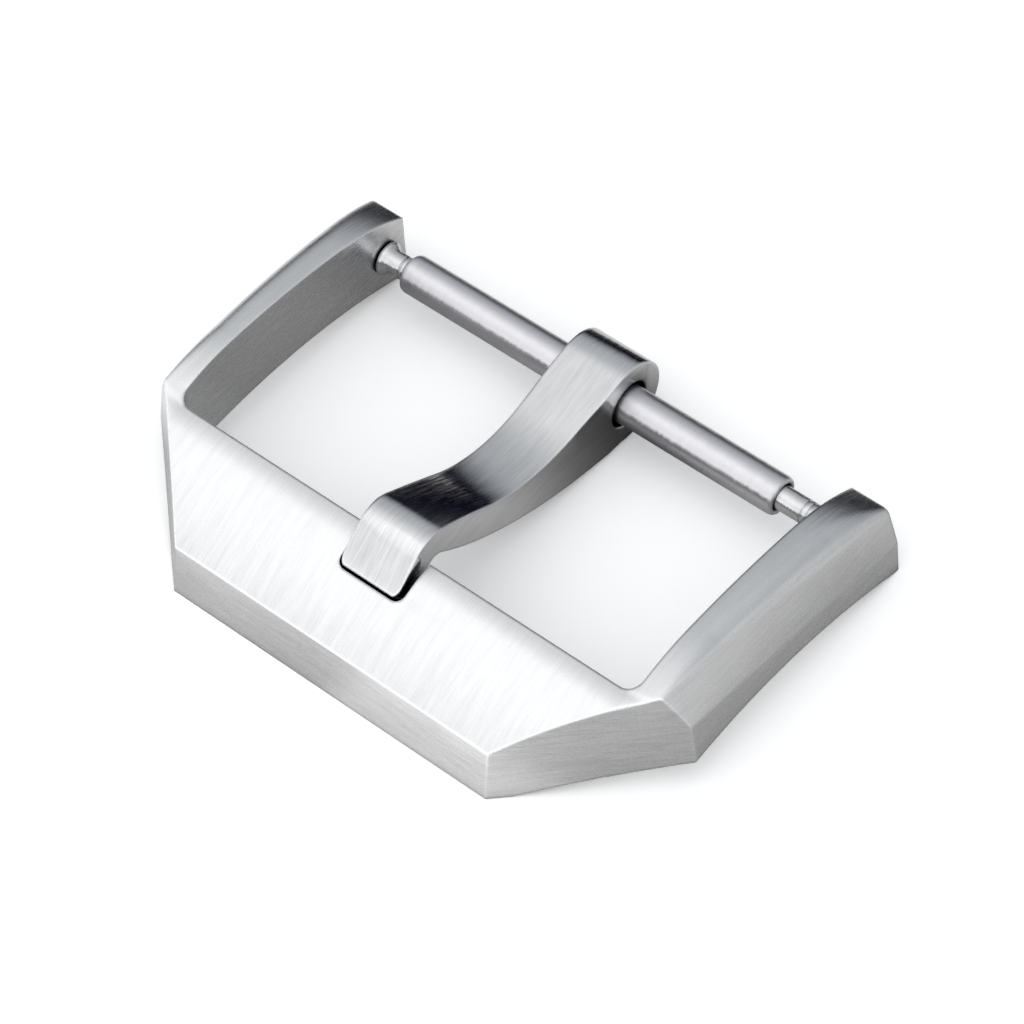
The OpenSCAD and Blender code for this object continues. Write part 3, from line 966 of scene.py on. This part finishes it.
# painted shadow of the tang's eye, on the card that only the metal mirrors
eyeShade = {"centre": (1.9, 6.7, 0), "reach": (0.5, 5.6), "level": (0.28, 1)}


def plainSheet(name, reach, height):
    bm = bmesh.new()
    bmesh.ops.create_grid(bm, x_segments=4, y_segments=4, size=reach)
    sheet = makeObject(name, bm)
    toMetres(sheet)
    sheet.location.z = height * mm
    material = bpy.data.materials.new(name)
    material.use_nodes = True
    sheet.data.materials.append(material)
    return sheet, NodeDesk(material.node_tree)


def buildFloor():
    # white floor that keeps the shadow, lifted a little where it is seen
    sheet, desk = plainSheet("pale_floor", studio["floorReach"], studio["floorHeight"])
    path = desk.add("ShaderNodeLightPath")
    seen = desk.math("MAXIMUM", path.outputs["Is Camera Ray"], path.outputs["Is Glossy Ray"])
    seen = desk.math("MAXIMUM", seen, path.outputs["Is Transmission Ray"])
    diffuse = desk.add("ShaderNodeBsdfDiffuse")
    desk.feed(diffuse.inputs["Color"], studio["floorTone"])
    glow = desk.add("ShaderNodeEmission")
    desk.feed(glow.inputs["Strength"], desk.math("MULTIPLY", seen, studio["floorLift"]))
    both = desk.add("ShaderNodeAddShader")
    desk.feed(both.inputs[0], diffuse.outputs[0])
    desk.feed(both.inputs[1], glow.outputs[0])
    output = desk.add("ShaderNodeOutputMaterial")
    desk.feed(output.inputs["Surface"], both.outputs[0])


def buildPaintedShadeCard():
    # card over the floor that only the metal mirrors, painted with the buckle's shade and with lighter and
    # darker patches, so that the walls read against white
    sheet, desk = plainSheet("painted_shade_card", studio["cardReach"], studio["cardHeight"])
    sheet.visible_camera = False
    sheet.visible_diffuse = False
    sheet.visible_transmission = False
    sheet.visible_shadow = False
    # painted shade and light: the card's level is set by place, darker where the buckle's shade would fall
    place = desk.coords("Object")
    parts = desk.apart(place)

    def shareOf(patch):
        ramps = []
        for axis, span, ends in cardPaintedLightAndShade[patch][1]:
            ramps.append(desk.ramp(parts[axis], [v * mm for v in span], ends))
        return desk.product(ramps)

    def changed(level, patch):
        factor = desk.math("MULTIPLY_ADD", shareOf(patch), cardPaintedLightAndShade[patch][0], 1.0)
        return desk.math("MULTIPLY", level, factor)

    # in the buckle's own shade near it, but for the part behind the bar
    near = changed(shareOf("near"), "behind")
    level = desk.math("MULTIPLY_ADD", near, cardPaintedLightAndShade["near"][0], 1.0)
    for patch in ("front", "left", "right", "wall"):
        level = changed(level, patch)

    # painted shadow, darkest under the eye, and painted dark far behind
    away = desk.vector("DISTANCE", place, [v * mm for v in eyeShade["centre"]])
    shade = desk.ramp(away, [v * mm for v in eyeShade["reach"]], eyeShade["level"])
    level = changed(desk.math("MULTIPLY", level, shade), "far")
    diffuse = desk.add("ShaderNodeBsdfDiffuse")
    desk.feed(diffuse.inputs["Color"], desk.scaled(studio["cardTone"], level))
    output = desk.add("ShaderNodeOutputMaterial")
    desk.feed(output.inputs["Surface"], diffuse.outputs[0])


# level of the soft light from the back horizon (0) over the top (90) to the front horizon (180)
skyLevels = [
    (0, 0.0), (7, 0.0), (12, 0.08), (18, 0.22), (26, 0.4), (36, 0.54), (58, 0.68), (72, 0.86), (86, 1.06),
    (104, 1.27), (120, 1.24), (140, 1.14), (156, 1.3), (168, 1.7), (180, 1.7),
]
skyTop = 2.0  # the curve holds levels up to this
sideLight = {"way": (0.85, 0.5, 0.1), "turn": (0.4, 0.95), "level": 0.65, "height": (0.1, 0.42)}

# darker parts of the sky are bluer: less red and green, and a touch more blue
skyBlue = {"level": (0.3, 1.1), "share": (1.0, 0.15), "Red": -0.07, "Green": -0.03, "Blue": 0.008}


def buildSky():
    world = bpy.data.worlds.new("soft_studio")
    bpy.context.scene.world = world
    world.use_nodes = True
    desk = NodeDesk(world.node_tree)
    way = desk.coords("Generated")
    parts = desk.apart(way)
    turn = desk.math("DIVIDE", desk.math("ARCTAN2", parts["Z"], parts["Y"]), math.pi)
    level = desk.curve(turn, [(angle / 180, value / skyTop) for angle, value in skyLevels])
    level = desk.math("MULTIPLY", level, skyTop)

    # a soft light from the right and a little behind, low over the horizon
    side = desk.vector("DOT_PRODUCT", way, sideLight["way"])
    side = desk.ramp(side, sideLight["turn"], (0, sideLight["level"]))
    side = desk.math("MULTIPLY", side, desk.ramp(parts["Z"], sideLight["height"], (1, 0)))
    level = desk.math("ADD", level, side)

    # bluer where it is darker
    blue = desk.ramp(level, skyBlue["level"], skyBlue["share"])
    colour = desk.add("ShaderNodeCombineColor")
    for channel in ("Red", "Green"):
        factor = desk.math("MULTIPLY_ADD", blue, skyBlue[channel], 1.0)
        desk.feed(colour.inputs[channel], desk.math("MULTIPLY", level, factor))
    desk.feed(colour.inputs["Blue"], desk.math("MULTIPLY_ADD", blue, skyBlue["Blue"], level))
    graded = desk.add("ShaderNodeBackground")
    desk.feed(graded.inputs["Color"], colour.outputs[0])

    # the camera sees plain white past the floor's edge
    plain = desk.add("ShaderNodeBackground")
    desk.feed(plain.inputs["Color"], (1.0, 1.0, 1.0, 1.0))
    either = desk.add("ShaderNodeMixShader")
    desk.feed(either.inputs["Fac"], desk.add("ShaderNodeLightPath").outputs["Is Camera Ray"])
    desk.feed(either.inputs[1], graded.outputs[0])
    desk.feed(either.inputs[2], plain.outputs[0])
    output = desk.add("ShaderNodeOutputWorld")
    desk.feed(output.inputs["Surface"], either.outputs[0])


def addLamp():
    # draws the soft shadow
    lamp = bpy.data.lights.new("top_lamp", "AREA")
    lamp.shape = "DISK"
    lamp.size = studio["lampSize"] * mm
    lamp.energy = studio["lampPower"]
    holder = bpy.data.objects.new("top_lamp", lamp)
    holder.location = Vector(studio["lampPlace"]) * mm
    holder.rotation_euler = (-holder.location).to_track_quat("-Z", "Y").to_euler()
    bpy.context.scene.collection.objects.link(holder)


# camera fitted to the frame's edges in the photograph, lengths in mm
cameraSize = {
    "place": (58.535, -62.543, 112.193),
    "right": (0.77066, 0.63605, -0.03895),
    "down": (0.48574, -0.6259, -0.61017),
    "lens": 143.66,
    "sensor": 36.0,
    "clip": (5, 10000),
}


def buildCamera():
    size = cameraSize
    right, down = Vector(size["right"]), Vector(size["down"])
    back = right.cross(-down)
    turn = Matrix((right, -down, back)).transposed()
    camera = bpy.data.cameras.new("camera")
    camera.sensor_width = size["sensor"]
    camera.lens = size["lens"]
    camera.clip_start, camera.clip_end = (v * mm for v in size["clip"])
    holder = bpy.data.objects.new("camera", camera)
    holder.matrix_world = Matrix.Translation(Vector(size["place"]) * mm) @ turn.to_4x4()
    bpy.context.scene.collection.objects.link(holder)
    bpy.context.scene.camera = holder


print("setting up the studio")
buildFloor()
buildPaintedShadeCard()
buildSky()
addLamp()
buildCamera()
bpy.context.scene.view_settings.view_transform = "Standard"
